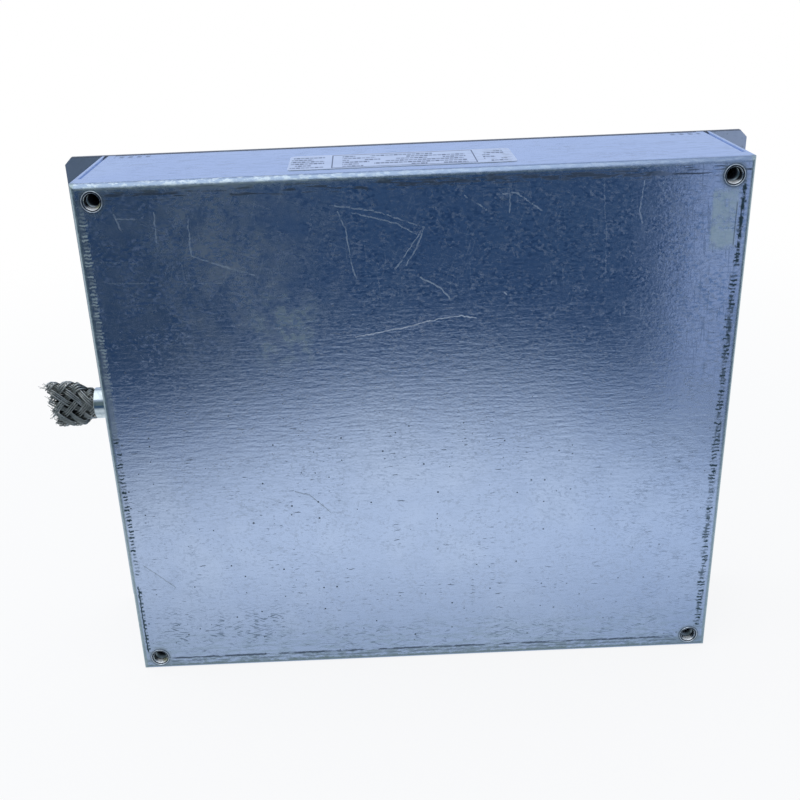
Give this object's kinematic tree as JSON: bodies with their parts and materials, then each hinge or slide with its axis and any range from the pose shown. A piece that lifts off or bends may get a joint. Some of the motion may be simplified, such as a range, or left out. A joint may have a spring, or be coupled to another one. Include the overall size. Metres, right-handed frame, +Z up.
{
  "type": "emi line filter",
  "caption": "Flat three-phase line filter in a folded zinc-plated case on an eared base plate, with threaded holes in its face for a motor drive and a cut-off braided cable outlet.",
  "frame": {"origin": "middle of the lower long wall, on the surface that the case stands on, half-way through its depth with the base plate", "axes": "+X along the long walls towards the end with the terminal block, -Y out of the face with the threaded holes, +Y out of the back of the base plate, +Z up towards the long wall with the label"},
  "size_m": [0.2587, 0.0553, 0.1851],
  "materials": {
    "case_zinc": "zinc-plated sheet, scuffed",
    "plate_zinc": "zinc-plated sheet",
    "screw_zinc": "bright zinc plating",
    "nut_zinc": "zinc plating with a faint yellow passivation",
    "label_film": "satin silver-white film",
    "ferrule_nickel": "nickel-plated, smooth",
    "braid_wire": "dull tinned copper wire",
    "block_plastic": "moulded plastic",
    "terminal_brass": "bare brass",
    "board_laminate": "solder-masked laminate",
    "insulation_film": "insulating film",
    "core_ferrite": "coated ferrite",
    "winding_copper": "enamelled flat copper wire",
    "choke_plastic": "moulded plastic",
    "capacitor_case": "moulded plastic box",
    "earth_capacitor_case": "moulded plastic box",
    "resistor_body": "lacquered",
    "lead_black": "insulated wire",
    "lead_earth": "insulated wire"
  },
  "bodies": {
    "root": {"case_tray": "case_zinc", "base_plate": "plate_zinc", "plate_screws": "screw_zinc", "drive_nuts": "nut_zinc", "rating_label": "label_film", "cable_ferrule": "ferrule_nickel", "shield_braid": "braid_wire", "terminal_block": "block_plastic", "terminal_clamps": "terminal_brass", "terminal_screws": "screw_zinc", "block_screws": "screw_zinc", "circuit_board": "board_laminate", "board_spacers": "screw_zinc", "board_screws": "screw_zinc", "insulation_sheet": "insulation_film", "choke_core": "core_ferrite", "choke_winding_1": "winding_copper", "choke_winding_2": "winding_copper", "choke_winding_3": "winding_copper", "choke_base": "choke_plastic", "choke_divider": "choke_plastic", "x_capacitor_1": "capacitor_case", "x_capacitor_2": "capacitor_case", "x_capacitor_3": "capacitor_case", "x_capacitor_4": "capacitor_case", "x_capacitor_5": "capacitor_case", "x_capacitor_6": "capacitor_case", "y_capacitor_1": "earth_capacitor_case", "y_capacitor_2": "earth_capacitor_case", "y_capacitor_3": "earth_capacitor_case", "y_capacitor_4": "earth_capacitor_case", "resistor_1": "resistor_body", "resistor_2": "resistor_body", "resistor_3": "resistor_body", "line_lead_1": "lead_black", "line_lead_2": "lead_black", "line_lead_3": "lead_black", "load_lead_1": "lead_black", "load_lead_2": "lead_black", "load_lead_3": "lead_black", "load_earth_lead": "lead_earth", "earth_lead": "lead_earth", "board_earth_lead": "lead_earth", "earth_stud": "screw_zinc", "earth_lug_1": "terminal_brass", "earth_lug_2": "terminal_brass", "earth_washer": "screw_zinc", "earth_nut": "screw_zinc"}
  },
  "joints": []
}
